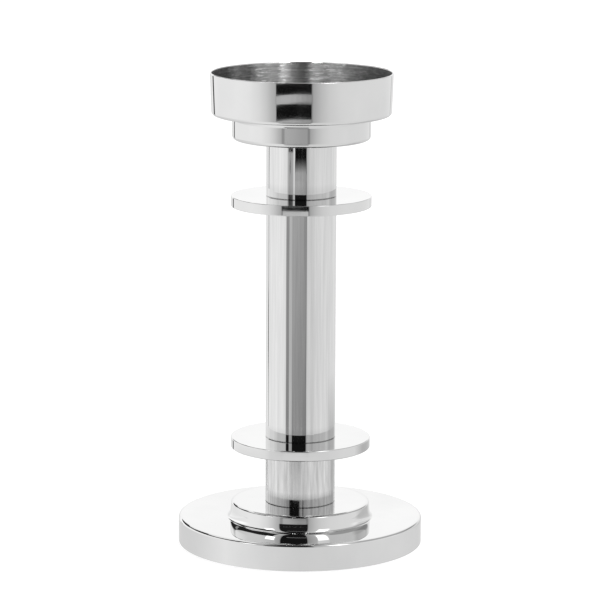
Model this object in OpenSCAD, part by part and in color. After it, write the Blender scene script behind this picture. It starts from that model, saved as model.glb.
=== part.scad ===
// Stepped pillar candlestick: a weighted two-step base, a tube column with two
// collar discs, and a two-step cup that screws onto the column's tie rod.
// Millimetres, +Z up, origin on the resting plane at the centre of the base.

/* [Base] */
// Outer diameter of the base drum
base_d = 140; // [134:1:150]
// Height of the base drum at its rim, above the resting plane
base_h = 15.8; // [15.6:0.1:18]
// Radius of the drum's softened top edge
base_edge_r = 1.5; // [0.6:0.1:3]
// Depth by which the top of the drum dips towards the step
base_dish = 1; // [0:0.1:1.6]
// Diameter of the step on the base, at its top
step_d = 79.4; // [76:0.1:84]
// Height of the step's top above the resting plane
step_z = 24; // [23.4:0.1:26]
// Lean of the step's wall, in degrees from upright
step_lean = 6; // [3:0.5:8]
// Reach of the hollow, oval foot of the step's wall over the drum
step_cove_r = 2.2; // [1.6:0.1:3]
// Height of that oval foot
step_cove_h = 7.2; // [4:0.1:7.4]
// Sheet thickness of the base shell
base_t = 1.6; // [1.2:0.1:1.8]

/* [Column] */
// Outer diameter of the column tubes
tube_d = 40; // [38:0.5:42]
// Wall thickness of the column tubes
tube_t = 1.5; // [1:0.1:2]
// Bevel on the outer edge of each tube end
tube_bevel = 0.4; // [0.2:0.1:0.8]
// Length of the short tube under the lower disc
lower_tube_len = 32; // [26:0.5:40]
// Length of the long tube between the discs
main_tube_len = 134; // [80:1:200]
// Length from the upper disc to the underside of the cup
upper_tube_len = 32; // [31.5:0.5:40]
// Diameter of the two collar discs
disc_d = 80; // [60:1:90]
// Thickness of the two collar discs
disc_t = 6; // [4:0.5:8]
// Thickness of the plugs in the ends of the tubes
plug_t = 8; // [5:0.5:10]

/* [Cup] */
// Outer diameter of the lower cup, the candle socket
socket_d = 78.8; // [70:0.1:82]
// Height of the lower cup, up to the underside of the upper one
socket_h = 14; // [10:0.5:18]
// Radius of the lower cup's bottom edge
socket_edge_r = 2.5; // [2:0.1:4]
// Sheet thickness of the lower cup
socket_t = 1.2; // [0.8:0.1:1.4]
// Radius of the hollow shoulder on the lower cup that carries the upper one
shoulder_r = 3; // [1:0.5:4]
// Outer diameter of the upper cup at its bottom
drip_d0 = 102.2; // [96:0.1:110]
// Outer diameter of the upper cup at its rim
drip_d1 = 103.8; // [100:0.1:112]
// Height of the upper cup
drip_h = 24; // [16:0.5:32]
// Radius of the upper cup's bottom edge
drip_edge_r = 2; // [1.6:0.1:3]
// Sheet thickness of the upper cup
drip_t = 1; // [0.8:0.1:1.2]

/* [Fasteners] */
// Diameter of the tie rod's thread
rod_d = 8; // [8:1:8]
// Pitch of the tie rod's thread
rod_pitch = 1.25; // [1.25:0.25:1.25]
// Thickness of the slip washer under the cup
slip_t = 0.5; // [0.4:0.1:0.8]

/* [Hidden] */
$fn = 128;

// ---- base levels
rim_z = 0.5;                         // the shell's rim stands just clear of the table
felt_t = 1.6;
plate_t = 2.2;
plate_z = felt_t;                    // the plate lies on the felt
weight_z = plate_z + plate_t;        // underside of the weight
weight_top = base_h - base_dish - base_t - 0.7;
weight_r = base_d / 2 - base_t - 2;
head_z = step_z - base_t;            // underside of the step's top, where the weight bears
pocket_r = 14;                       // nut pocket in the weight
pocket_z = 16;                       // roof of the nut pocket
screw_pcd = 100;
screw_n = 3;
base_r = base_d / 2;
step_r = step_d / 2;
step_edge_r = 1.1;
dish_z = base_h - base_dish;
cove_h = min(step_cove_h, step_z - step_edge_r - dish_z - 0.3);
cove_a = atan(tan(step_lean) * cove_h / step_cove_r);       // where the oval meets the leaning wall
cove_top = dish_z + cove_h * (1 - sin(cove_a));
cove_c = [step_r + tan(step_lean) * (step_z - step_edge_r - cove_top) + step_cove_r * cos(cove_a), dish_z + cove_h];

// ---- column levels
tube_r = tube_d / 2;
tube_ri = tube_r - tube_t;
plug_r = tube_ri - 0.02;             // solder gap
rod_r = rod_d / 2;
rod_hole_r = rod_r + 0.25;
z_lt = step_z;
z_ld = z_lt + lower_tube_len;
z_mt = z_ld + disc_t;
z_ud = z_mt + main_tube_len;
z_ut = z_ud + disc_t;
z_cup = z_ut + upper_tube_len;       // underside of the cup
z_ut_top = z_cup - slip_t;           // top of the upper tube
upper_plug_t = 6;
head_floor = 6.5;
z_head = z_ut + upper_plug_t;        // the stem head stands on the foot plug
z_head_floor = z_head + head_floor;
head_pocket_r = 11;
disc_edge_r = 0.5;

// ---- cup levels
boss_r = 9;
boss_len = 10.5;
boss_bore_r = rod_r + 0.05;          // running fit on the rod
z_rod_top = z_cup - 1;
z_rod_bot = 4.6;
socket_r = socket_d / 2;
z_drip = z_cup + socket_h;
z_rim = z_drip + drip_h;

// ---- fasteners
nut_af = 13;
nut_h = 6.5;
washer_t = 1.6;
spring_t = 2;
nut_bore_r = rod_r + 0.02;

steel = [0.80, 0.80, 0.82];
nickel = [0.86, 0.86, 0.87];

// points along an arc in the (radius, height) plane
function arc(c, r, a0, a1, n) = [for (i = [0:n]) let (a = a0 + (a1 - a0) * i / n) [c[0] + r * cos(a), c[1] + r * sin(a)]];

// points along the oval foot of the step's wall, set back by t into the sheet
function foot_oval(t, a0, a1, n) = [for (i = [0:n]) let (a = a0 + (a1 - a0) * i / n,
    u = cos(a) / step_cove_r, w = sin(a) / cove_h, l = sqrt(u * u + w * w))
    [cove_c[0] - step_cove_r * cos(a) - t * u / l, cove_c[1] - cove_h * sin(a) - t * w / l]];

// a turned ring between two radii and two heights
module ring(ro, ri, z0, z1) {
  translate([0, 0, z0]) difference() {
    cylinder(r = ro, h = z1 - z0);
    translate([0, 0, -1]) cylinder(r = ri, h = z1 - z0 + 2);
  }
}

// a tube of the column, bevelled outside at both ends
module column_tube(z0, z1) {
  c = tube_bevel;
  rotate_extrude() polygon([[tube_ri, z0], [tube_r - c, z0], [tube_r, z0 + c], [tube_r, z1 - c], [tube_r - c, z1], [tube_ri, z1]]);
}

// a hexagon nut with its corners turned off at both faces
module hex_nut(z0) {
  rc = nut_af / sqrt(3);
  translate([0, 0, z0]) difference() {
    intersection() {
      cylinder(r = rc, h = nut_h, $fn = 6);
      rotate_extrude() polygon([[0, 0], [rc - 0.9, 0], [rc + 0.1, 0.58], [rc + 0.1, nut_h - 0.58], [rc - 0.9, nut_h], [0, nut_h]]);
    }
    translate([0, 0, -1]) cylinder(r = nut_bore_r, h = nut_h + 2);
  }
}

// a plug soldered in the end of a tube, bored for the rod
module tube_plug(z0, t) {
  difference() {
    translate([0, 0, z0]) rotate_extrude() polygon([[0, 0], [plug_r - 0.5, 0], [plug_r, 0.5], [plug_r, t - 0.5], [plug_r - 0.5, t], [0, t]]);
    translate([0, 0, z0 - 1]) cylinder(r = rod_hole_r, h = t + 2);
  }
}

// a flat collar disc with softened edges, bored for the rod
module collar_disc(z0) {
  r = disc_d / 2;
  e = disc_edge_r;
  difference() {
    translate([0, 0, z0]) rotate_extrude() polygon(concat([[0, 0]], arc([r - e, e], e, -90, 0, 4), arc([r - e, disc_t - e], e, 0, 90, 4), [[0, disc_t]]));
    translate([0, 0, z0 - 1]) cylinder(r = rod_hole_r, h = disc_t + 2);
  }
}

// places a copy at each cover screw
module at_screws() {
  for (i = [0:screw_n - 1]) rotate([0, 0, 90 + 360 / screw_n * i]) translate([screw_pcd / 2, 0, 0]) children();
}

module felt_pad() {
  color([0.10, 0.11, 0.11]) cylinder(r = weight_r - 0.5, h = felt_t);
}

module cover_plate() {
  color(steel) difference() {
    translate([0, 0, plate_z]) cylinder(r = weight_r, h = plate_t);
    at_screws() {
      translate([0, 0, plate_z - 1]) cylinder(r = 2.1, h = plate_t + 2);
      translate([0, 0, plate_z - 0.01]) cylinder(r1 = 3.91, r2 = 2.1, h = 1.81);
    }
  }
}

module cover_screws() {
  color(steel) at_screws() translate([0, 0, plate_z]) difference() {
    rotate_extrude() polygon([[0, 0], [3.8, 0], [3.8, 0.05], [2, 1.85], [2, 9.4], [1.4, 10], [0, 10]]);
    translate([-2.1, -0.45, -1]) cube([4.2, 0.9, 2.1]);
    translate([-0.45, -2.1, -1]) cube([0.9, 4.2, 2.1]);
  }
}

module ballast_weight() {
  color([0.22, 0.22, 0.23]) difference() {
    rotate_extrude() polygon([[0, weight_z], [weight_r - 1, weight_z], [weight_r, weight_z + 1], [weight_r, weight_top - 1.5], [weight_r - 1.5, weight_top],
                              [step_r - base_t - 1.6, weight_top], [step_r - base_t - 1.6, head_z - 1], [step_r - base_t - 2.6, head_z], [0, head_z]]);
    translate([0, 0, weight_z - 1]) cylinder(r = rod_r + 0.5, h = head_z);
    translate([0, 0, weight_z - 1]) cylinder(r = pocket_r, h = pocket_z - weight_z + 1);
    at_screws() translate([0, 0, weight_z - 1]) cylinder(r = 2.05, h = 9.4);
  }
}

module base_shell() {
  t = base_t;
  g = max(base_edge_r - t, 0.4);     // inside of the drum's top edge
  outer = concat([[rod_hole_r, step_z]],
                 arc([step_r - step_edge_r, step_z - step_edge_r], step_edge_r, 90, 0, 5),
                 foot_oval(0, cove_a, 90, 12),
                 arc([base_r - base_edge_r, base_h - base_edge_r], base_edge_r, 90, 0, 10),
                 [[base_r, rim_z]]);
  inner = concat([[base_r - t, rim_z]],
                 arc([base_r - t - g, base_h - t - g], g, 0, 90, 6),
                 foot_oval(t, 90, cove_a, 8),
                 [[step_r - t, step_z - t - 0.4], [step_r - t - 0.4, step_z - t], [rod_hole_r, step_z - t]]);
  color(nickel) rotate_extrude() polygon(concat(outer, inner));
}

module base_nut() {
  color(steel) hex_nut(pocket_z - washer_t - spring_t - nut_h);
}

module base_spring_washer() {
  color(steel) difference() {
    ring(7.4, rod_r + 0.1, pocket_z - washer_t - spring_t, pocket_z - washer_t);
    translate([0, -0.9, pocket_z - washer_t - spring_t - 1]) rotate([0, 0, 0]) cube([10, 1.8, spring_t + 2]);
  }
}

module base_flat_washer() {
  color(steel) ring(12, rod_hole_r, pocket_z - washer_t, pocket_z);
}

module tie_rod() {
  c = 0.8;
  color(steel) rotate_extrude() polygon([[0, z_rod_bot], [rod_r - c, z_rod_bot], [rod_r, z_rod_bot + c], [rod_r, z_rod_top - c], [rod_r - c, z_rod_top], [0, z_rod_top]]);
}

module lower_tube() { color(nickel) column_tube(z_lt, z_ld); }

module lower_tube_foot_plug() { color(steel) tube_plug(z_lt, plug_t); }

module lower_tube_head_plug() { color(steel) tube_plug(z_ld - plug_t, plug_t); }

module lower_disc() { color(nickel) collar_disc(z_ld); }

module main_tube() { color(nickel) column_tube(z_mt, z_ud); }

module main_tube_foot_plug() { color(steel) tube_plug(z_mt, plug_t); }

module main_tube_head_plug() { color(steel) tube_plug(z_ud - plug_t, plug_t); }

module upper_disc() { color(nickel) collar_disc(z_ud); }

module upper_tube() { color(nickel) column_tube(z_ut, z_ut_top); }

module upper_tube_foot_plug() { color(steel) tube_plug(z_ut, upper_plug_t); }

module stem_head() {
  color(steel) difference() {
    ring(plug_r, rod_hole_r, z_head, z_ut_top);
    translate([0, 0, z_head_floor]) cylinder(r = head_pocket_r, h = 60);
  }
}

module column_washer() { color(steel) ring(9.5, rod_hole_r, z_head_floor, z_head_floor + washer_t); }

module column_nut() { color(steel) hex_nut(z_head_floor + washer_t); }

module slip_washer() { color([0.75, 0.74, 0.70]) ring(tube_r - 0.6, boss_r + 0.05, z_ut_top, z_cup); }

module cup_boss() {
  color(steel) difference() {
    translate([0, 0, z_cup - boss_len]) cylinder(r = boss_r, h = boss_len);
    translate([0, 0, z_cup - boss_len - 1]) cylinder(r = boss_bore_r, h = boss_len + 0.5);
  }
}

module candle_socket() {
  e = socket_edge_r;
  t = socket_t;
  s = shoulder_r;
  land = arc([socket_r + s, z_drip - s], s, 180, 105, 8);
  color(nickel) rotate_extrude() polygon(concat([[0, z_cup]],
      arc([socket_r - e, z_cup + e], e, -90, 0, 8),
      land, [[land[8][0], z_drip], [socket_r, z_drip]],
      [[socket_r, z_drip + drip_t], [socket_r - t, z_drip + drip_t]],
      arc([socket_r - e, z_cup + e], e - t, 0, -90, 6),
      [[0, z_cup + t]]));
}

module drip_cup() {
  e = drip_edge_r;
  t = drip_t;
  r0 = drip_d0 / 2;
  r1 = drip_d1 / 2;
  color(nickel) rotate_extrude() polygon(concat([[socket_r + 0.02, z_drip]],
      arc([r0 - e, z_drip + e], e, -90, 0, 8),
      arc([r1 - t / 2, z_rim - t / 2], t / 2, 0, 180, 8),
      arc([r0 - e, z_drip + e], e - t, 0, -90, 6),
      [[socket_r + 0.02, z_drip + t]]));
}

felt_pad();
cover_plate();
cover_screws();
ballast_weight();
base_shell();
base_nut();
base_spring_washer();
base_flat_washer();
tie_rod();
lower_tube();
lower_tube_foot_plug();
lower_tube_head_plug();
lower_disc();
main_tube();
main_tube_foot_plug();
main_tube_head_plug();
upper_disc();
upper_tube();
upper_tube_foot_plug();
stem_head();
column_washer();
column_nut();
slip_washer();
cup_boss();
candle_socket();
drip_cup();
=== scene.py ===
import math
import bpy
from mathutils import Matrix, Vector


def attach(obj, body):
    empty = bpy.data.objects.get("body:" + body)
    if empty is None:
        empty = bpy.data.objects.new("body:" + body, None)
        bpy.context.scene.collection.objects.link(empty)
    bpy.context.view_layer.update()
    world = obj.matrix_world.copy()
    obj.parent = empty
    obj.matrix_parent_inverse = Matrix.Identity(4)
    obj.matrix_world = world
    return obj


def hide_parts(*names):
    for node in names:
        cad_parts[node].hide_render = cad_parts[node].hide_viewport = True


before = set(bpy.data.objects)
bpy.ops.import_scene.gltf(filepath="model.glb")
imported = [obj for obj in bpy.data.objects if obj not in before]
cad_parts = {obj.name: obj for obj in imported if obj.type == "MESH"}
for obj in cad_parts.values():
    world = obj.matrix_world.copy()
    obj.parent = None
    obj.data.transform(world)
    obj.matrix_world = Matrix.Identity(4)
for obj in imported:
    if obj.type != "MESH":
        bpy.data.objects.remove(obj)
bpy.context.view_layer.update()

scene = bpy.context.scene
scene.view_settings.view_transform = "Standard"
scene.view_settings.look = "None"
MM = 0.001

# ---------------------------------------------------------------- camera
# Long lens, looking slightly down on the candlestick, with a trace of roll.
CAM_D, CAM_H = 1.79444, 0.48156
PITCH, ROLL, YAW = 0.18737, 0.00428, -0.00027
FOCAL_PX = 3198.6


def make_camera():
    fw = Vector((math.sin(YAW) * math.cos(PITCH), math.cos(YAW) * math.cos(PITCH), -math.sin(PITCH)))
    rt = Vector((math.cos(YAW), -math.sin(YAW), 0.0))
    up = rt.cross(fw)
    r2 = rt * math.cos(ROLL) + up * math.sin(ROLL)
    u2 = up * math.cos(ROLL) - rt * math.sin(ROLL)
    data = bpy.data.cameras.new("camera")
    data.sensor_width = 36.0
    data.lens = FOCAL_PX / 600.0 * 36.0
    data.clip_end = 60.0
    cam = bpy.data.objects.new("camera", data)
    m = Matrix((
        (r2.x, u2.x, -fw.x, 0.0),
        (r2.y, u2.y, -fw.y, -CAM_D),
        (r2.z, u2.z, -fw.z, CAM_H),
        (0.0, 0.0, 0.0, 1.0),
    ))
    cam.matrix_world = m
    scene.collection.objects.link(cam)
    scene.camera = cam


make_camera()


# ---------------------------------------------------------------- turned shapes
def line(p, q, n=1):
    """Straight stretch of a profile from p to q. The solid lies on its left."""
    dr, dz = q[0] - p[0], q[1] - p[1]
    l = math.hypot(dr, dz)
    nr, nz = dz / l, -dr / l
    return [(p[0] + dr * i / n, p[1] + dz * i / n, nr, nz) for i in range(n + 1)]


def arc(c, r, a0, a1, n, inward=False):
    """Round stretch of a profile about c, from angle a0 to a1 in degrees. inward is a hollow corner."""
    s = -1.0 if inward else 1.0
    pts = []
    for i in range(n + 1):
        a = math.radians(a0 + (a1 - a0) * i / n)
        pts.append((c[0] + r * math.cos(a), c[1] + r * math.sin(a), s * math.cos(a), s * math.sin(a)))
    return pts


def oval(c, a, b, t0, t1, n):
    """Oval stretch of a profile about c with half-widths a and b, from angle t0 to t1 in degrees."""
    pts = []
    for i in range(n + 1):
        t = math.radians(t0 + (t1 - t0) * i / n)
        nr, nz = math.cos(t) / a, math.sin(t) / b
        l = math.hypot(nr, nz)
        pts.append((c[0] + a * math.cos(t), c[1] + b * math.sin(t), nr / l, nz / l))
    return pts


def revolve(name, runs, segs=256, slots=None, lean=None):
    """Turned solid from runs of (r, z, normal r, normal z) points, in millimetres, counter-clockwise in the (r, z) plane.
    slots gives the material slot of each run. lean gives, for an angle round the axis from the front in degrees, the
    angle that the polished surface faces there: shallow flats and ridges left along a tube."""
    verts, rings, faces, normals, mats = [], {}, [], [], []
    cs = [(math.cos(2 * math.pi * j / segs), math.sin(2 * math.pi * j / segs)) for j in range(segs)]
    face_cs = cs
    if lean:
        face_cs = []
        for j in range(segs):
            front = (360.0 * j / segs + 90.0 + 180.0) % 360.0 - 180.0
            a = math.radians(lean(front) - 90.0)
            face_cs.append((math.cos(a), math.sin(a)))

    def ring(r, z):
        key = (round(r, 5), round(z, 5))
        if key not in rings:
            start = len(verts)
            if key[0] == 0.0:
                verts.append((0.0, 0.0, z * MM))
                rings[key] = (start, True)
            else:
                verts.extend((r * c * MM, r * s * MM, z * MM) for c, s in cs)
                rings[key] = (start, False)
        return rings[key]

    def nrm(p, j):
        c, s = face_cs[j % segs]
        return (p[2] * c, p[2] * s, p[3])

    for k, run in enumerate(runs):
        for p, q in zip(run, run[1:]):
            if math.hypot(p[0] - q[0], p[1] - q[1]) < 1e-6:
                continue
            a, apole = ring(p[0], p[1])
            b, bpole = ring(q[0], q[1])
            for j in range(segs):
                j2 = (j + 1) % segs
                if apole and bpole:
                    continue
                if apole:
                    faces.append((a, b + j2, b + j)[::-1]); normals.append([nrm(p, j), nrm(q, j2), nrm(q, j)][::-1])
                elif bpole:
                    faces.append((a + j, a + j2, b)); normals.append([nrm(p, j), nrm(p, j2), nrm(q, j)])
                else:
                    faces.append((a + j, a + j2, b + j2, b + j)); normals.append([nrm(p, j), nrm(p, j2), nrm(q, j2), nrm(q, j)])
                mats.append(slots[k] if slots else 0)
    mesh = bpy.data.meshes.new(name)
    mesh.from_pydata(verts, [], faces)
    mesh.polygons.foreach_set("material_index", mats)
    mesh.polygons.foreach_set("use_smooth", [True] * len(faces))
    mesh.update()
    flat = [n for f in normals for n in f]
    mesh.normals_split_custom_set(flat)
    obj = bpy.data.objects.new(name, mesh)
    scene.collection.objects.link(obj)
    return obj


# ---------------------------------------------------------------- node helpers
class Tree:
    """Small helper for wiring a material's nodes."""

    def __init__(self, name):
        self.mat = bpy.data.materials.new(name)
        self.mat.use_nodes = True
        self.nt = self.mat.node_tree
        self.nt.nodes.clear()
        self.out = self.add("ShaderNodeOutputMaterial")
        self.bsdf = self.add("ShaderNodeBsdfPrincipled")
        self.link(self.bsdf.outputs["BSDF"], self.out.inputs["Surface"])

    def add(self, kind, **props):
        n = self.nt.nodes.new(kind)
        for k, v in props.items():
            setattr(n, k, v)
        return n

    def link(self, a, b):
        self.nt.links.new(a, b)

    def coords(self):
        return self.add("ShaderNodeTexCoord").outputs["Object"]

    def mapping(self, vec, scale):
        m = self.add("ShaderNodeMapping")
        m.inputs["Scale"].default_value = scale
        self.link(vec, m.inputs["Vector"])
        return m.outputs["Vector"]

    def noise(self, vec, scale, detail=3.0, rough=0.5, dims="3D"):
        n = self.add("ShaderNodeTexNoise", noise_dimensions=dims)
        n.inputs["Scale"].default_value = scale
        n.inputs["Detail"].default_value = detail
        n.inputs["Roughness"].default_value = rough
        if vec is not None:
            self.link(vec, n.inputs["Vector"])
        return n.outputs["Fac"]

    def math(self, op, a, b=None, c=None):
        n = self.add("ShaderNodeMath", operation=op)
        for i, v in enumerate((a, b, c)):
            if v is None:
                continue
            if isinstance(v, (int, float)):
                n.inputs[i].default_value = v
            else:
                self.link(v, n.inputs[i])
        return n.outputs[0]

    def span(self, fac, lo0, hi0, lo1, hi1):
        n = self.add("ShaderNodeMapRange")
        n.inputs["From Min"].default_value = lo0
        n.inputs["From Max"].default_value = hi0
        n.inputs["To Min"].default_value = lo1
        n.inputs["To Max"].default_value = hi1
        self.link(fac, n.inputs["Value"])
        return n.outputs["Result"]

    def ramp(self, fac, stops):
        n = self.add("ShaderNodeValToRGB")
        e = n.color_ramp.elements
        while len(e) < len(stops):
            e.new(0.5)
        for i, (p, c) in enumerate(stops):
            e[i].position = p
            e[i].color = (c[0], c[1], c[2], 1.0)
        self.link(fac, n.inputs["Fac"])
        return n.outputs["Color"]

    def combine(self, x, y, z):
        n = self.add("ShaderNodeCombineXYZ")
        for i, v in enumerate((x, y, z)):
            if isinstance(v, (int, float)):
                n.inputs[i].default_value = v
            else:
                self.link(v, n.inputs[i])
        return n.outputs[0]

    def bump(self, height, strength, distance):
        n = self.add("ShaderNodeBump")
        n.inputs["Strength"].default_value = strength
        n.inputs["Distance"].default_value = distance
        self.link(height, n.inputs["Height"])
        self.link(n.outputs["Normal"], self.bsdf.inputs["Normal"])
        return n


def turn_coords(t):
    """(angle in radians, radius, height) of a point about the candlestick's axis."""
    sep = t.add("ShaderNodeSeparateXYZ")
    t.link(t.coords(), sep.inputs[0])
    ang = t.math("ARCTAN2", sep.outputs["Y"], sep.outputs["X"])
    rad = t.math("SQRT", t.math("ADD", t.math("MULTIPLY", sep.outputs["X"], sep.outputs["X"]), t.math("MULTIPLY", sep.outputs["Y"], sep.outputs["Y"])))
    return ang, rad, sep.outputs["Z"], sep


NICKEL_LO, NICKEL_HI = (0.600, 0.601, 0.602), (0.640, 0.640, 0.638)


def nickel_base(t, rough_lo, rough_hi):
    """Bright plated metal: colour and gloss shift a little over the surface, as wiping and handling leave them."""
    b = t.bsdf
    b.inputs["Metallic"].default_value = 1.0
    co = t.coords()
    cloud = t.noise(co, 28.0, 4.0, 0.55)
    t.link(t.ramp(cloud, [(0.30, NICKEL_LO), (0.70, NICKEL_HI)]), b.inputs["Base Color"])
    smear = t.noise(t.mapping(co, (1.0, 1.0, 0.35)), 75.0, 5.0, 0.6)
    t.link(t.span(smear, 0.35, 0.75, rough_lo, rough_hi), b.inputs["Roughness"])
    return co


def mat_polished():
    """Mirror-polished plate on turned pieces, with faint buffing rings."""
    t = Tree("polished_nickel")
    nickel_base(t, 0.015, 0.035)
    ang, rad, z, sep = turn_coords(t)
    v = t.combine(t.math("MULTIPLY", ang, 0.6), t.math("MULTIPLY", rad, 900.0), t.math("MULTIPLY", z, 900.0))
    rings = t.noise(v, 1.0, 3.0, 0.6)
    t.bump(rings, 0.03, 0.00002)
    return t.mat


def mat_tube(name, col_lo, col_hi, rough_lo, rough_hi, depth, patchy, foot, foot_tone):
    """Drawn tube, polished by hand: the buffing left shallow streaks that run along it. The colour is darker towards
    the foot of the tube.
    """
    t = Tree(name)
    b = t.bsdf
    b.inputs["Metallic"].default_value = 1.0
    ang, rad, z, sep = turn_coords(t)
    ca, sa = t.math("COSINE", ang), t.math("SINE", ang)

    def along(k, kz):
        return t.combine(t.math("MULTIPLY", ca, k), t.math("MULTIPLY", sa, k), t.math("MULTIPLY", z, kz))

    broad = t.noise(along(6.0, 6.0), 1.0, 2.0, 0.5)
    fine = t.noise(along(24.0, 9.0), 1.0, 3.0, 0.6)
    hair = t.noise(along(90.0, 14.0), 1.0, 2.0, 0.6)
    wipe = t.noise(along(12.0, patchy), 1.0, 3.0, 0.55)
    colour = t.ramp(t.math("ADD", t.math("MULTIPLY", wipe, 0.75), t.math("MULTIPLY", hair, 0.25)), [(0.32, col_lo), (0.68, col_hi)])
    # colour made darker towards the foot of the tube, over its lowest few millimetres
    above_foot = t.math("ADD", t.math("SUBTRACT", z, foot), t.math("MULTIPLY", t.math("SUBTRACT", fine, 0.5), 0.002))
    tone = t.add("ShaderNodeMix", data_type="RGBA", blend_type="MULTIPLY")
    tone.inputs["Factor"].default_value = 1.0
    t.link(colour, tone.inputs["A"])
    t.link(t.ramp(t.span(above_foot, 0.0, 0.0085, 0.0, 1.0), [(0.0, (foot_tone, foot_tone, foot_tone)), (0.55, (foot_tone, foot_tone, foot_tone)), (1.0, (1.0, 1.0, 1.0))]), tone.inputs["B"])
    t.link(tone.outputs["Result"], b.inputs["Base Color"])
    t.link(t.span(wipe, 0.35, 0.70, rough_lo, rough_hi), b.inputs["Roughness"])
    h = t.math("ADD", broad, t.math("ADD", t.math("MULTIPLY", fine, 0.16), t.math("MULTIPLY", hair, 0.02)))
    t.bump(h, 1.0, depth)
    return t.mat


def mat_turned_inside():
    """Inside of the cups: left as turned, with fine lines round the wall, painted light and shade in bands round it,
    and painted glints.
    """
    t = Tree("turned_nickel_inside")
    b = t.bsdf
    b.inputs["Metallic"].default_value = 1.0
    ang, rad, z, sep = turn_coords(t)
    ca, sa = t.math("COSINE", ang), t.math("SINE", ang)
    path = t.math("ADD", rad, z)

    def around(k, kp):
        return t.combine(t.math("MULTIPLY", ca, k), t.math("MULTIPLY", sa, k), t.math("MULTIPLY", path, kp))

    lines = t.noise(around(1.6, 1700.0), 1.0, 4.0, 0.7)
    dashes = t.noise(around(11.0, 650.0), 1.0, 3.0, 0.65)
    mix = t.math("ADD", t.math("MULTIPLY", lines, 0.55), t.math("MULTIPLY", dashes, 0.45))
    # painted light and shade, twice round: a dark stretch, two bright ones, a dark one, two bright ones
    turn = t.math("FRACT", t.math("DIVIDE", t.math("SUBTRACT", math.pi, ang), math.pi))
    turn = t.math("ADD", turn, t.math("MULTIPLY", t.math("SUBTRACT", dashes, 0.5), 0.03))
    stretch = t.ramp(turn, [(p, (c, c, c)) for p, c in (
        (0, 0.11), (0.18, 0.14), (0.235, 0.36), (0.30, 0.25), (0.335, 0.68), (0.385, 0.50), (0.412, 0.38), (0.43, 0.70), (0.455, 0.48),
        (0.485, 0.45), (0.512, 0.30), (0.54, 0.70), (0.57, 0.55), (0.61, 0.76), (0.66, 0.54), (0.70, 0.36), (0.76, 0.22), (0.83, 0.14), (1, 0.11))])
    # tone along the turned lines: partly their own tone, partly painted glitter where they would catch the light
    streak = t.ramp(mix, [(0.34, (0.50, 0.50, 0.50)), (0.50, (0.78, 0.78, 0.78)), (0.57, (1.05, 1.05, 1.05)), (0.66, (1.6, 1.6, 1.6))])
    tone = t.add("ShaderNodeMix", data_type="RGBA", blend_type="MULTIPLY")
    tone.inputs["Factor"].default_value = 1.0
    t.link(stretch, tone.inputs["A"])
    t.link(streak, tone.inputs["B"])
    # painted glints: short bright dashes in the brighter painted bands
    painted_glint_cuts = t.noise(around(7.0, 900.0), 1.0, 2.0, 0.6)
    glint = t.math("MULTIPLY", t.span(painted_glint_cuts, 0.56, 0.64, 0.0, 1.0), t.span(stretch, 0.46, 0.62, 0.0, 0.9))
    bright = t.add("ShaderNodeMix", data_type="RGBA", blend_type="MIX")
    t.link(glint, bright.inputs["Factor"])
    t.link(tone.outputs["Result"], bright.inputs["A"])
    bright.inputs["B"].default_value = (1.0, 1.0, 1.0, 1.0)
    t.link(bright.outputs["Result"], b.inputs["Base Color"])
    t.link(t.span(mix, 0.3, 0.7, 0.40, 0.30), b.inputs["Roughness"])
    b.inputs["Anisotropic"].default_value = 0.9
    b.inputs["Anisotropic Rotation"].default_value = 0.25
    tan = t.add("ShaderNodeTangent", direction_type="RADIAL", axis="Z")
    t.link(tan.outputs["Tangent"], b.inputs["Tangent"])
    t.bump(mix, 0.6, 0.00012)
    return t.mat


def mat_zinc():
    t = Tree("zinc_steel")
    b = t.bsdf
    b.inputs["Metallic"].default_value = 1.0
    co = t.coords()
    spangle = t.add("ShaderNodeTexVoronoi")
    spangle.inputs["Scale"].default_value = 900.0
    t.link(co, spangle.inputs["Vector"])
    cloud = t.noise(co, 120.0, 4.0, 0.6)
    mix = t.math("ADD", t.math("MULTIPLY", spangle.outputs["Distance"], 0.4), t.math("MULTIPLY", cloud, 0.6))
    t.link(t.ramp(mix, [(0.2, (0.52, 0.53, 0.55)), (0.8, (0.76, 0.77, 0.78))]), b.inputs["Base Color"])
    t.link(t.span(cloud, 0.3, 0.7, 0.26, 0.42), b.inputs["Roughness"])
    t.bump(mix, 0.15, 0.0001)
    return t.mat


def mat_brass():
    t = Tree("turned_brass")
    b = t.bsdf
    b.inputs["Metallic"].default_value = 1.0
    ang, rad, z, sep = turn_coords(t)
    v = t.combine(t.math("MULTIPLY", ang, 0.5), t.math("MULTIPLY", rad, 2600.0), t.math("MULTIPLY", z, 2600.0))
    lines = t.noise(v, 1.0, 3.0, 0.6)
    tarnish = t.noise(t.coords(), 90.0, 4.0, 0.6)
    mix = t.math("ADD", t.math("MULTIPLY", lines, 0.45), t.math("MULTIPLY", tarnish, 0.55))
    t.link(t.ramp(mix, [(0.30, (0.55, 0.38, 0.14)), (0.70, (0.80, 0.62, 0.30))]), b.inputs["Base Color"])
    t.link(t.span(mix, 0.3, 0.7, 0.38, 0.20), b.inputs["Roughness"])
    t.bump(lines, 0.35, 0.0001)
    return t.mat


def mat_iron():
    t = Tree("cast_iron")
    b = t.bsdf
    b.inputs["Metallic"].default_value = 0.7
    co = t.coords()
    grain = t.noise(co, 700.0, 6.0, 0.65)
    lump = t.noise(co, 60.0, 4.0, 0.55)
    rust = t.noise(co, 45.0, 5.0, 0.7)
    mix = t.math("ADD", t.math("MULTIPLY", grain, 0.5), t.math("MULTIPLY", rust, 0.5))
    t.link(t.ramp(mix, [(0.30, (0.045, 0.045, 0.048)), (0.58, (0.11, 0.11, 0.112)), (0.80, (0.16, 0.12, 0.10))]), b.inputs["Base Color"])
    t.link(t.span(grain, 0.3, 0.7, 0.75, 0.5), b.inputs["Roughness"])
    t.bump(t.math("ADD", t.math("MULTIPLY", grain, 0.5), lump), 0.5, 0.0006)
    return t.mat


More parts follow.
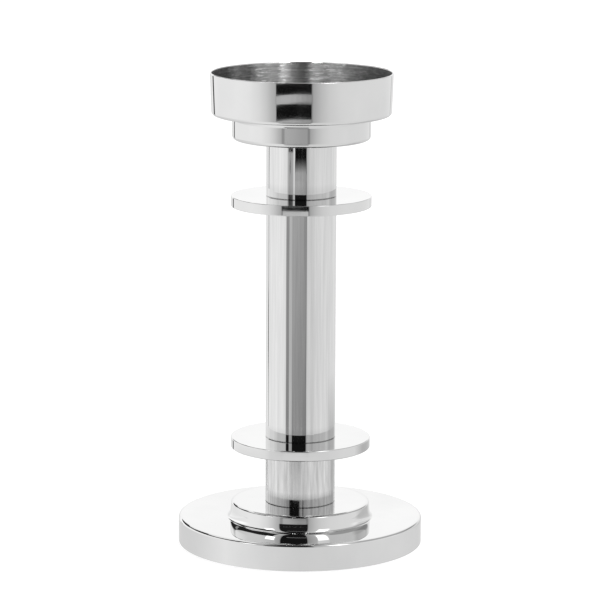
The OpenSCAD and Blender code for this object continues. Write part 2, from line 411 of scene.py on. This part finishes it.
def mat_felt():
    t = Tree("felt")
    b = t.bsdf
    co = t.coords()
    fibre = t.noise(co, 1600.0, 6.0, 0.75)
    hair = t.add("ShaderNodeTexWave", wave_type="BANDS")
    hair.inputs["Scale"].default_value = 420.0
    hair.inputs["Distortion"].default_value = 28.0
    hair.inputs["Detail"].default_value = 4.0
    t.link(co, hair.inputs["Vector"])
    patch = t.noise(co, 35.0, 3.0, 0.5)
    mix = t.math("ADD", t.math("MULTIPLY", fibre, 0.55), t.math("ADD", t.math("MULTIPLY", hair.outputs["Fac"], 0.25), t.math("MULTIPLY", patch, 0.2)))
    t.link(t.ramp(mix, [(0.25, (0.012, 0.013, 0.014)), (0.75, (0.060, 0.062, 0.064))]), b.inputs["Base Color"])
    t.link(t.span(fibre, 0.2, 0.8, 0.98, 0.85), b.inputs["Roughness"])
    b.inputs["Sheen Weight"].default_value = 0.35
    b.inputs["Sheen Roughness"].default_value = 0.5
    b.inputs["Specular IOR Level"].default_value = 0.15
    t.bump(mix, 0.8, 0.0008)
    return t.mat


def mat_nylon():
    t = Tree("nylon")
    b = t.bsdf
    co = t.coords()
    cloud = t.noise(co, 260.0, 4.0, 0.6)
    t.link(t.ramp(cloud, [(0.3, (0.70, 0.69, 0.64)), (0.7, (0.80, 0.79, 0.75))]), b.inputs["Base Color"])
    t.link(t.span(cloud, 0.3, 0.7, 0.5, 0.36), b.inputs["Roughness"])
    b.inputs["Subsurface Weight"].default_value = 0.15
    b.inputs["Subsurface Scale"].default_value = 0.0005
    t.bump(cloud, 0.2, 0.0001)
    return t.mat


POLISHED, INSIDE = mat_polished(), mat_turned_inside()
TUBE = mat_tube("polished_nickel_tube", (0.56, 0.561, 0.562), (0.66, 0.66, 0.658), 0.02, 0.05, 0.00008, 20.0, 0.062, 0.88)
TOP_TUBE = mat_tube("polished_nickel_top_tube", (0.56, 0.561, 0.562), (0.66, 0.66, 0.658), 0.02, 0.05, 0.00008, 20.0, 0.202, 0.90)
WORN = mat_tube("polished_nickel_worn", (0.44, 0.44, 0.44), (0.72, 0.72, 0.72), 0.07, 0.14, 0.00030, 45.0, 0.024, 0.76)
ZINC, BRASS, IRON, FELT, NYLON = mat_zinc(), mat_brass(), mat_iron(), mat_felt(), mat_nylon()


def dress(obj, *mats):
    """Give a mesh its materials; the faces keep their material places."""
    places = [p.material_index for p in obj.data.polygons]
    obj.data.materials.clear()
    for m in mats:
        obj.data.materials.append(m)
    if len(mats) > 1:
        obj.data.polygons.foreach_set("material_index", places)


def stand_for(obj, node, body):
    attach(obj, body)
    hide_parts(node)


# ---------------------------------------------------------------- levels, in millimetres
BASE_R, BASE_H, BASE_EDGE, BASE_BROW, BASE_DISH = 70.0, 15.8, 1.5, 2.0, 1.0
STEP_R, STEP_Z, STEP_LEAN, STEP_EDGE, STEP_BROW = 39.7, 24.0, 6.0, 1.1, 2.2
COVE_R, COVE_H = 2.2, 7.2
RIM_Z, SHEET = 0.5, 1.6
TUBE_R, TUBE_RI = 20.0, 18.5
Z_LD, Z_MT, Z_UD, Z_UT, Z_CUP = 56.0, 62.0, 196.0, 202.0, 234.0
Z_DRIP, Z_RIM = 248.0, 272.0
DISC_R, DISC_T = 40.0, 6.0
SOCK_R, SOCK_T, SOCK_EDGE, SHOULDER = 39.4, 1.2, 2.5, 3.0
DRIP_R0, DRIP_R1, DRIP_T, DRIP_EDGE = 51.1, 51.9, 1.0, 2.0
HOLE_R = 4.25


def make_base_shell():
    dish = BASE_H - BASE_DISH
    t = SHEET
    top_c = (BASE_R - BASE_BROW, BASE_H - BASE_EDGE)
    lean = math.tan(math.radians(STEP_LEAN))
    a0 = math.atan(lean * COVE_H / COVE_R)
    z_in = dish + COVE_H * (1.0 - math.sin(a0))
    r_in = STEP_R + lean * (STEP_Z - STEP_EDGE - z_in)
    cove_c = (r_in + COVE_R * math.cos(a0), dish + COVE_H)

    def cove(n, grow):
        """Hollow, oval foot of the step's wall, from the base's top up to the leaning wall; grow sets it back into the sheet."""
        pts = []
        for i in range(n + 1):
            a = math.pi / 2 - (math.pi / 2 - a0) * i / n
            nr, nz = math.cos(a) / COVE_R, math.sin(a) / COVE_H
            l = math.hypot(nr, nz)
            pts.append((cove_c[0] - COVE_R * math.cos(a) - grow * nr / l, cove_c[1] - COVE_H * math.sin(a) - grow * nz / l, nr / l, nz / l))
        return pts

    outer = cove(28, 0.0)
    inner = [(r, z, -nr, -nz) for r, z, nr, nz in reversed(cove(10, t))]
    runs = [
        line((BASE_R - t + 0.3, RIM_Z), (BASE_R - 0.3, RIM_Z)),
        arc((BASE_R - 0.3, RIM_Z + 0.3), 0.3, -90, 0, 4),
        line((BASE_R, RIM_Z + 0.3), (BASE_R, top_c[1]), 4),
        oval(top_c, BASE_BROW, BASE_EDGE, 0, 90, 18),
        line((top_c[0], BASE_H), outer[0][:2], 12),
        outer,
        line(outer[-1][:2], (STEP_R, STEP_Z - STEP_EDGE), 2),
        oval((STEP_R - STEP_BROW, STEP_Z - STEP_EDGE), STEP_BROW, STEP_EDGE, 0, 90, 16),
        line((STEP_R - STEP_BROW, STEP_Z), (HOLE_R, STEP_Z), 4),
        line((HOLE_R, STEP_Z), (HOLE_R, STEP_Z - t)),
        line((HOLE_R, STEP_Z - t), (STEP_R - t, STEP_Z - t), 3),
        line((STEP_R - t, STEP_Z - t), inner[0][:2]),
        inner,
        line(inner[-1][:2], (BASE_R - t - 0.4, BASE_H - t), 4),
        arc((BASE_R - t - 0.4, BASE_H - t - 0.4), 0.4, 90, 0, 5, inward=True),
        line((BASE_R - t, BASE_H - t - 0.4), (BASE_R - t, RIM_Z + 0.3), 2),
        arc((BASE_R - t + 0.3, RIM_Z + 0.3), 0.3, 180, 270, 4),
    ]
    o = revolve("base_shell_skin", runs, 320)
    dress(o, POLISHED)
    stand_for(o, "base_shell", "stand")


def broken(stops):
    """Broken line through (position, value) stops."""
    def value(x):
        for (x0, y0), (x1, y1) in zip(stops, stops[1:]):
            if x0 <= x <= x1:
                return y0 + (y1 - y0) * (x - x0) / (x1 - x0)
        return x
    return value


# the way that the tubes face, round from the front: a shallow flat in front, bounded by ridges
MAIN_FLATS = broken(((-90.0, -90.0), (-69.0, -77.5), (-65.0, -72.5), (-56.0, -58.0), (-40.0, -43.0), (-25.4, -30.5), (-24.2, -15.0), (-19.5, -14.5),
                     (-18.8, -19.5), (-14.2, -19.5), (-13.4, -8.5), (9.0, 5.8), (10.0, 14.0), (11.0, 22.0), (14.5, 22.5), (16.5, 16.5), (21.0, 17.5),
                     (24.0, 29.0), (30.0, 34.0), (60.0, 61.0), (90.0, 90.0)))
UPPER_FLATS = broken(((-90.0, -90.0), (-69.0, -77.5), (-65.0, -72.5), (-56.0, -58.0), (-40.0, -42.0), (-23.4, -30.0), (-22.3, -16.8), (-13.2, -16.6),
                      (-12.4, -30.0), (-10.9, -29.0), (-10.1, -12.0), (8.6, 5.8), (10.0, 13.0), (17.0, 20.0), (19.0, 18.0), (22.0, 24.0), (35.0, 38.0),
                      (37.0, 30.0), (39.0, 41.0), (60.0, 60.0), (90.0, 90.0)))
LOWER_FLATS = broken(((-90.0, -90.0), (-60.0, -63.0), (-50.0, -47.0), (-36.0, -38.0), (-30.0, -26.0), (-20.0, -20.0), (-10.0, -6.0), (0.0, 4.0), (4.0, 11.5), (10.0, 13.0),
                      (20.0, 23.0), (28.0, 26.0), (40.0, 43.0), (55.0, 52.0), (70.0, 73.0), (90.0, 90.0)))


def make_tube(name, node, z0, z1, mat, flats):
    e, g = 0.2, 0.4
    runs = [
        line((TUBE_RI + e, z0), (TUBE_R - g, z0)),
        line((TUBE_R - g, z0), (TUBE_R, z0 + g)),
        line((TUBE_R, z0 + g), (TUBE_R, z1 - g), 8),
        line((TUBE_R, z1 - g), (TUBE_R - g, z1)),
        line((TUBE_R - g, z1), (TUBE_RI + e, z1)),
        line((TUBE_RI + e, z1), (TUBE_RI, z1 - e)),
        line((TUBE_RI, z1 - e), (TUBE_RI, z0 + e), 4),
        line((TUBE_RI, z0 + e), (TUBE_RI + e, z0)),
    ]
    o = revolve(name, runs, 720, lean=flats)
    dress(o, mat)
    stand_for(o, node, "stand")


def make_disc(name, node, z0, e):
    z1 = z0 + DISC_T
    runs = [
        line((HOLE_R, z0), (DISC_R - e, z0), 4),
        arc((DISC_R - e, z0 + e), e, -90, 0, 6),
        line((DISC_R, z0 + e), (DISC_R, z1 - e), 2),
        arc((DISC_R - e, z1 - e), e, 0, 90, 6),
        line((DISC_R - e, z1), (HOLE_R, z1), 4),
        line((HOLE_R, z1), (HOLE_R, z0), 1),
    ]
    o = revolve(name, runs, 288)
    dress(o, POLISHED)
    stand_for(o, node, "stand")


def make_socket():
    e, t, f = SOCK_EDGE, SOCK_T, SHOULDER
    c = (SOCK_R - e, Z_CUP + e)
    top = Z_DRIP + DRIP_T
    land = arc((SOCK_R + f, Z_DRIP - f), f, 180, 98, 14, inward=True)
    runs = [
        line((0.0, Z_CUP), (c[0], Z_CUP), 6),
        arc(c, e, -90, 0, 16),
        line((SOCK_R, c[1]), (SOCK_R, Z_DRIP - f), 3),
        land,
        line((land[-1][0], land[-1][1]), (land[-1][0], Z_DRIP)),
        line((land[-1][0], Z_DRIP), (SOCK_R, Z_DRIP)),
        line((SOCK_R, Z_DRIP), (SOCK_R, top)),
        line((SOCK_R, top), (SOCK_R - t, top)),
        line((SOCK_R - t, top), (SOCK_R - t, c[1]), 3),
        arc(c, e - t, 0, -90, 8, inward=True),
        line((c[0], Z_CUP + t), (0.0, Z_CUP + t), 6),
    ]
    o = revolve("candle_socket_skin", runs, 288, [0, 0, 0, 0, 0, 0, 0, 1, 1, 1, 1])
    dress(o, POLISHED, INSIDE)
    stand_for(o, "candle_socket", "cup")


def make_drip_cup():
    e, t = DRIP_EDGE, DRIP_T
    c = (DRIP_R0 - e, Z_DRIP + e)
    rim = (DRIP_R1 - t / 2, Z_RIM - t / 2)
    tilt = math.degrees(math.atan2(DRIP_R1 - DRIP_R0, rim[1] - c[1]))
    gap = SOCK_R + 0.02
    runs = [
        line((gap, Z_DRIP), (c[0], Z_DRIP), 2),
        arc(c, e, -90, 0, 14),
        line((DRIP_R0, c[1]), (DRIP_R1, rim[1]), 6),
        arc(rim, t / 2, 0, 180, 12),
        line((rim[0] - t / 2, rim[1]), (DRIP_R0 - t, c[1]), 6),
        arc(c, e - t, 0, -90, 8, inward=True),
        line((c[0], Z_DRIP + t), (gap, Z_DRIP + t), 2),
        line((gap, Z_DRIP + t), (gap, Z_DRIP)),
    ]
    o = revolve("drip_cup_skin", runs, 320, [0, 0, 0, 0, 1, 1, 1, 0])
    dress(o, POLISHED, INSIDE)
    stand_for(o, "drip_cup", "cup")


make_base_shell()
make_tube("lower_tube_skin", "lower_tube", STEP_Z, Z_LD, WORN, LOWER_FLATS)
make_tube("main_tube_skin", "main_tube", Z_MT, Z_UD, TUBE, MAIN_FLATS)
make_tube("upper_tube_skin", "upper_tube", Z_UT, Z_CUP - 0.5, TOP_TUBE, UPPER_FLATS)
make_disc("lower_disc_skin", "lower_disc", Z_LD, 0.6)
make_disc("upper_disc_skin", "upper_disc", Z_UD, 0.4)
make_socket()
make_drip_cup()

for node in ("cover_plate", "cover_screws", "base_nut", "base_spring_washer", "base_flat_washer", "tie_rod", "column_washer", "column_nut"):
    dress(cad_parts[node], ZINC)
for node in ("lower_tube_foot_plug", "lower_tube_head_plug", "main_tube_foot_plug", "main_tube_head_plug", "upper_tube_foot_plug", "stem_head", "cup_boss"):
    dress(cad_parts[node], BRASS)
dress(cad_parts["ballast_weight"], IRON)
dress(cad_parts["felt_pad"], FELT)
dress(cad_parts["slip_washer"], NYLON)


# ---------------------------------------------------------------- studio
def emit_mat(name, value):
    m = bpy.data.materials.new(name)
    m.use_nodes = True
    nt = m.node_tree
    nt.nodes.clear()
    out = nt.nodes.new("ShaderNodeOutputMaterial")
    em = nt.nodes.new("ShaderNodeEmission")
    em.inputs["Color"].default_value = (value, value, value, 1.0)
    em.inputs["Strength"].default_value = 1.0
    nt.links.new(em.outputs[0], out.inputs["Surface"])
    return m


def plane(name, corners, mat):
    mesh = bpy.data.meshes.new(name)
    mesh.from_pydata(corners, [], [(0, 1, 2, 3)])
    mesh.update()
    o = bpy.data.objects.new(name, mesh)
    scene.collection.objects.link(o)
    mesh.materials.append(mat)
    return o


def make_floor():
    m = bpy.data.materials.new("pale_floor")
    m.use_nodes = True
    nt = m.node_tree
    nt.nodes.clear()
    out = nt.nodes.new("ShaderNodeOutputMaterial")
    add = nt.nodes.new("ShaderNodeAddShader")
    em = nt.nodes.new("ShaderNodeEmission")
    em.inputs["Color"].default_value = (1.0, 1.0, 1.0, 1.0)
    em.inputs["Strength"].default_value = 0.80
    df = nt.nodes.new("ShaderNodeBsdfDiffuse")
    df.inputs["Color"].default_value = (0.45, 0.45, 0.45, 1.0)
    nt.links.new(em.outputs[0], add.inputs[0])
    nt.links.new(df.outputs[0], add.inputs[1])
    nt.links.new(add.outputs[0], out.inputs["Surface"])
    s = 8.0
    o = plane("floor", [(-s, -s, -0.0001), (s, -s, -0.0001), (s, s, -0.0001), (-s, s, -0.0001)], m)
    o.visible_glossy = False


make_floor()


def make_backdrop():
    """White wall far round the floor, seen by the camera only."""
    n, r, h = 96, 7.8, 9.0
    verts, faces = [], []
    for k in range(n):
        a = 2 * math.pi * k / n
        verts += [(r * math.cos(a), r * math.sin(a), -0.0001), (r * math.cos(a), r * math.sin(a), h)]
        faces.append((2 * k, (2 * k + 2) % (2 * n), (2 * k + 3) % (2 * n), 2 * k + 1))
    mesh = bpy.data.meshes.new("backdrop")
    mesh.from_pydata(verts, [], faces)
    mesh.update()
    o = bpy.data.objects.new("backdrop", mesh)
    scene.collection.objects.link(o)
    mesh.materials.append(emit_mat("backdrop", 1.02))
    o.visible_glossy = False
    o.visible_diffuse = False
    o.visible_shadow = False
    o.visible_transmission = False


make_backdrop()


def make_world():
    """Soft studio surroundings, by azimuth (0 towards the camera, negative to the left) and elevation:
    white walls at both sides and behind, an open dark front, a dark open corner high on the left, and two window lights."""
    w = bpy.data.worlds.new("studio")
    scene.world = w
    w.use_nodes = True
    nt = w.node_tree
    nt.nodes.clear()
    out = nt.nodes.new("ShaderNodeOutputWorld")
    bg = nt.nodes.new("ShaderNodeBackground")
    nt.links.new(bg.outputs[0], out.inputs["Surface"])
    tc = nt.nodes.new("ShaderNodeTexCoord")
    sep = nt.nodes.new("ShaderNodeSeparateXYZ")
    nt.links.new(tc.outputs["Generated"], sep.inputs[0])

    def put(v, socket):
        if isinstance(v, (int, float)):
            socket.default_value = v
        else:
            nt.links.new(v, socket)

    def m(op, *args):
        n = nt.nodes.new("ShaderNodeMath")
        n.operation = op
        for i, v in enumerate(args):
            put(v, n.inputs[i])
        return n.outputs[0]

    def ramp(fac, stops):
        """Broken line through (position, value) stops."""
        lo, hi = stops[0][0], stops[-1][0]
        top = max(abs(v) for p, v in stops)
        mr = nt.nodes.new("ShaderNodeMapRange")
        mr.inputs["From Min"].default_value = lo
        mr.inputs["From Max"].default_value = hi
        nt.links.new(fac, mr.inputs["Value"])
        n = nt.nodes.new("ShaderNodeValToRGB")
        e = n.color_ramp.elements
        while len(e) < len(stops):
            e.new(0.5)
        for i, (p, v) in enumerate(stops):
            e[i].position = (p - lo) / (hi - lo)
            e[i].color = (abs(v) / top,) * 3 + (1.0,)
        nt.links.new(mr.outputs[0], n.inputs["Fac"])
        s = nt.nodes.new("ShaderNodeSeparateColor")
        nt.links.new(n.outputs["Color"], s.inputs[0])
        return m("MULTIPLY", s.outputs[0], top)

    def rise(v, a, b):
        """0 below a, 1 above b, smooth between."""
        mr = nt.nodes.new("ShaderNodeMapRange")
        mr.interpolation_type = "SMOOTHSTEP"
        nt.links.new(v, mr.inputs["Value"])
        put(a, mr.inputs["From Min"])
        put(b, mr.inputs["From Max"])
        return mr.outputs[0]

    def fall(v, a, b):
        return m("SUBTRACT", 1.0, rise(v, a, b))

    def mul(*vs):
        r = vs[0]
        for v in vs[1:]:
            r = m("MULTIPLY", r, v)
        return r

    def mix(f, a, b):
        return m("ADD", m("MULTIPLY", a, m("SUBTRACT", 1.0, f)), m("MULTIPLY", b, f))

    x, y, z = sep.outputs["X"], sep.outputs["Y"], sep.outputs["Z"]
    az = m("MULTIPLY", m("ARCTAN2", x, m("MULTIPLY", y, -1.0)), 180.0 / math.pi)
    el = m("MULTIPLY", m("ARCSINE", z), 180.0 / math.pi)
    # walls round the table, fading towards the opening at the front
    walls = ramp(az, [(-180.0, 1.40), (-165.0, 1.38), (-150.0, 1.15), (-120.0, 1.22), (-90.0, 1.26), (-70.0, 1.22), (-55.0, 1.08), (-45.0, 0.90),
                      (-38.0, 0.72), (-31.0, 0.58), (-24.0, 0.60), (-12.0, 0.56), (0.0, 0.50), (12.0, 0.48), (16.0, 0.60), (25.0, 0.78), (35.0, 0.92), (50.0, 1.02), (75.0, 1.07), (150.0, 1.06),
                      (165.0, 1.30), (180.0, 1.40)])
    # the table in front of the base is bright close by
    near = fall(el, -13.50, -13.30)
    frame_l = mul(rise(az, -34.0, -31.5), fall(az, -29.0, -27.0))
    frame_r = mul(rise(az, 9.0, 11.0), fall(az, 13.0, 14.5))
    opening = m("MULTIPLY", walls, m("SUBTRACT", 1.0, m("MULTIPLY", m("ADD", frame_l, frame_r), 0.28)))
    front = mul(rise(az, -33.0, -29.0), fall(az, 11.0, 15.0))
    opening = mix(front, opening, m("MULTIPLY", opening, ramp(el, [(-14.0, 0.64), (-11.5, 0.88), (-9.0, 1.04), (0.0, 1.04)])))
    low = mix(near, opening, m("MINIMUM", m("MAXIMUM", walls, 1.0), 1.13))
    # close round the foot of the base the table lies in its soft shadow, deeper towards the back
    foot = fall(el, -14.6, -14.3)
    low = mix(foot, low, ramp(az, [(-180.0, 0.80), (-160.0, 0.82), (-140.0, 0.92), (-110.0, 1.04), (-75.0, 1.20), (-45.0, 1.12), (0.0, 0.95), (15.0, 0.95), (60.0, 1.03),
                                   (110.0, 1.03), (140.0, 0.94), (160.0, 0.82), (180.0, 0.80)]))
    # a darker stretch of table between the bright part and the stick
    low = mix(mul(front, rise(el, -42.0, -38.0), fall(el, -25.0, -22.0)), low, 0.22)
    gap = mul(rise(az, -35.0, -32.5), fall(az, 12.0, 14.0))
    high = mix(gap, walls, 0.015)
    zenith = mul(rise(el, 66.0, 74.0), ramp(az, [(-180.0, 0.6), (-120.0, 1.0), (0.0, 1.0), (60.0, 0.75), (120.0, 0.6), (180.0, 0.6)]))
    high = mix(zenith, high, 0.012)
    rad = mix(rise(el, -2.9, -2.2), low, high)
    back = ramp(el, [(-12.0, 0.90), (0.0, 0.94), (5.0, 1.15), (9.0, 1.21), (14.0, 1.31), (20.0, 1.31)])
    rad = mix(mul(rise(m("ABSOLUTE", az), 150.0, 162.0), fall(el, 60.0, 75.0), m("SUBTRACT", 1.0, foot)), rad, back)
    # the walls are lighter just above the table, towards the back
    rad = m("MULTIPLY", rad, m("ADD", 1.0, mul(rise(m("ABSOLUTE", az), 85.0, 110.0), fall(m("ABSOLUTE", az), 150.0, 160.0), rise(el, 3.0, 7.0), fall(el, 16.0, 20.0), 0.3)))
    # the right wall is greyer low down, towards the back
    rad = m("MULTIPLY", rad, m("SUBTRACT", 1.0, mul(rise(az, 98.0, 114.0), fall(az, 148.0, 164.0), rise(el, 4.0, 8.0), fall(el, 27.0, 33.0), 0.31)))
    # dark corner behind the left wall: a slit at table height, and a wedge that widens upwards; a fainter pair on the right
    tall = mul(rise(el, -14.5, -13.5), fall(el, 60.0, 64.0), m("SUBTRACT", 1.0, mul(rise(el, -8.0, -6.0), fall(el, 14.5, 17.5))))
    edge_l = m("MULTIPLY", ramp(el, [(-14.0, 145.5), (8.0, 145.5), (18.0, 135.0), (25.0, 115.0), (30.0, 95.0), (36.0, 50.0)]), -1.0)
    start_l = m("MULTIPLY", ramp(el, [(-14.0, 151.0), (15.5, 151.0), (17.0, 167.0), (24.0, 167.0), (28.0, 155.0), (32.0, 151.0), (37.0, 154.0), (40.5, 154.0), (46.0, 112.0), (60.0, 108.0)]), -1.0)
    rad = mix(mul(rise(az, m("ADD", start_l, -1.0), m("ADD", start_l, 1.0)), fall(az, m("ADD", edge_l, -1.5), m("ADD", edge_l, 1.5)), tall), rad, 0.03)
    edge_r = ramp(el, [(-14.0, 152.0), (8.0, 152.0), (17.0, 140.0), (30.0, 110.0), (36.0, 80.0), (42.0, 60.0)])
    rad = mix(mul(rise(az, m("ADD", edge_r, -1.5), m("ADD", edge_r, 1.5)), fall(az, 154.0, 156.0), tall, 0.45), rad, 0.05)
    # a dim window in the dark corner
    rad = mix(mul(rise(az, -140.0, -138.0), fall(az, -132.0, -130.0), rise(el, 19.0, 21.0), fall(el, 29.0, 31.0)), rad, 0.50)
    # two window lights
    for a0, e0, wa, we in ((-53.0, 29.0, 8.0, 6.0), (41.0, 38.0, 9.0, 14.0)):
        da = m("DIVIDE", m("ABSOLUTE", m("SUBTRACT", az, a0)), wa)
        de = m("DIVIDE", m("ABSOLUTE", m("SUBTRACT", el, e0)), we)
        rad = m("ADD", rad, m("MULTIPLY", fall(m("MAXIMUM", da, de), 0.75, 1.25), 2.5))
    rgb = nt.nodes.new("ShaderNodeCombineColor")
    for i in range(3):
        nt.links.new(rad, rgb.inputs[i])
    nt.links.new(rgb.outputs[0], bg.inputs["Color"])
    bg.inputs["Strength"].default_value = 1.0


make_world()


def make_flags():
    """Cards bowed about the candlestick on the camera's side, seen only in the polished metal.
    Each is (radius, from azimuth, to azimuth, from height, to height, brightness or brightnesses in turn from the left)."""
    cards = (
        # in the drip cup's wall: two dark bars with lighter strips between and below
        (0.74, -31.0, 12.0, 0.1282, 0.1374, 0.008), (0.74, -31.0, 12.0, 0.1212, 0.1282, (0.65, 0.66, 0.65, 0.62, 0.57, 0.50, 0.45)),
        (0.74, -31.0, 12.0, 0.1088, 0.1212, 0.008), (0.74, -31.0, 12.0, 0.1034, 0.1088, (0.60, 0.63, 0.63, 0.61, 0.57, 0.50, 0.46)),
        # in the upper disc's edge
        (0.74, -31.0, 12.0, 0.0862, 0.0902, 0.008), (0.74, -29.0, 11.0, 0.0817, 0.0862, 0.76),
        # in the top of the upper tube, fading downwards
        (0.25, -33.5, -30.3, 0.1965, 0.2012, 0.03), (0.25, -22.0, 11.0, 0.1922, 0.2012, 0.008), (0.25, -22.0, 11.0, 0.1910, 0.1922, 0.03),
        (0.25, -22.0, 11.0, 0.1898, 0.1910, 0.07), (0.25, -22.0, 11.0, 0.1886, 0.1898, 0.12), (0.25, -22.0, 11.0, 0.1874, 0.1886, 0.18),
        (0.25, -22.0, 11.0, 0.1862, 0.1874, 0.25), (0.25, -22.0, 11.0, 0.1850, 0.1862, 0.33), (0.25, -22.0, 11.0, 0.1838, 0.1850, 0.42),
        (0.25, -22.0, 11.0, 0.1780, 0.1838, (0.55, 0.52, 0.49)),
    )
    split = []
    for r, a0, a1, z0, z1, value in cards:
        values = value if isinstance(value, tuple) else (value,)
        w = (a1 - a0) / len(values)
        split += [(r, a0 + w * k, a0 + w * (k + 1), z0, z1, v) for k, v in enumerate(values)]
    for i, (r, a0, a1, z0, z1, value) in enumerate(split):
        n = max(4, int((a1 - a0) / 1.5))
        verts, faces = [], []
        inner, outer, low, top = r, r, z0, z1
        if r > 0.5:
            # the far cards lie back: seen from the cup and the disc they look the same, from the base they are edge-on
            slope, sight = 0.1228, 0.194 if z0 > 0.1 else 0.161
            half = (z1 - z0) / (slope + sight) / 2.0
            inner, outer, low, top = r - half, r + half, (z0 + z1) / 2.0 - half * slope, (z0 + z1) / 2.0 + half * slope
        for k in range(n + 1):
            a = math.radians(a0 + (a1 - a0) * k / n)
            verts += [(outer * math.sin(a), -outer * math.cos(a), low if outer == r else top), (inner * math.sin(a), -inner * math.cos(a), top if outer == r else low)]
            if k:
                faces.append((2 * k - 2, 2 * k, 2 * k + 1, 2 * k - 1))
        mesh = bpy.data.meshes.new(f"card_{i}")
        mesh.from_pydata(verts, [], faces)
        mesh.update()
        o = bpy.data.objects.new(f"card_{i}", mesh)
        scene.collection.objects.link(o)
        mesh.materials.append(emit_mat(f"card_{i}", value))
        o.visible_camera = False
        o.visible_diffuse = False
        o.visible_shadow = False


make_flags()


def make_table_shadow():
    """Soft shadow on the table, behind and to the right of the stick; only the polished metal sees it."""
    t = Tree("table_shadow")
    t.nt.nodes.remove(t.bsdf)
    ang, rad, z, sep = turn_coords(t)
    deg = t.math("MULTIPLY", ang, 180.0 / math.pi)
    across = t.math("MULTIPLY", t.span(deg, 5.0, 28.0, 0.0, 1.0), t.span(deg, 50.0, 88.0, 1.0, 0.0))
    away = t.math("MULTIPLY", t.span(rad, 0.090, 0.115, 0.0, 1.0), t.span(rad, 0.27, 0.48, 1.0, 0.0))
    em = t.add("ShaderNodeEmission")
    em.inputs["Color"].default_value = (0.68, 0.68, 0.68, 1.0)
    clear = t.add("ShaderNodeBsdfTransparent")
    both = t.add("ShaderNodeMixShader")
    t.link(t.math("MULTIPLY", across, away), both.inputs["Fac"])
    t.link(clear.outputs[0], both.inputs[1])
    t.link(em.outputs[0], both.inputs[2])
    t.link(both.outputs[0], t.out.inputs["Surface"])
    o = plane("table_shadow", [(0.0, 0.0, 0.0001), (0.5, 0.0, 0.0001), (0.5, 0.5, 0.0001), (0.0, 0.5, 0.0001)], t.mat)
    o.visible_camera = False
    o.visible_diffuse = False
    o.visible_shadow = False


make_table_shadow()


def make_strips():
    """Two narrow lights close above the cup; only the turned lines inside it and its rim catch them."""
    lit = emit_mat("strip_light", 12.0)
    for i, (x, w) in enumerate(((-0.036, 0.011), (0.040, 0.011))):
        o = plane(f"strip_{i}", [(x - w, -0.055, 0.33), (x + w, -0.055, 0.33), (x + w, -0.055, 0.45), (x - w, -0.055, 0.45)], lit)
        o.visible_camera = False
        o.visible_diffuse = False
        o.visible_shadow = False


make_strips()
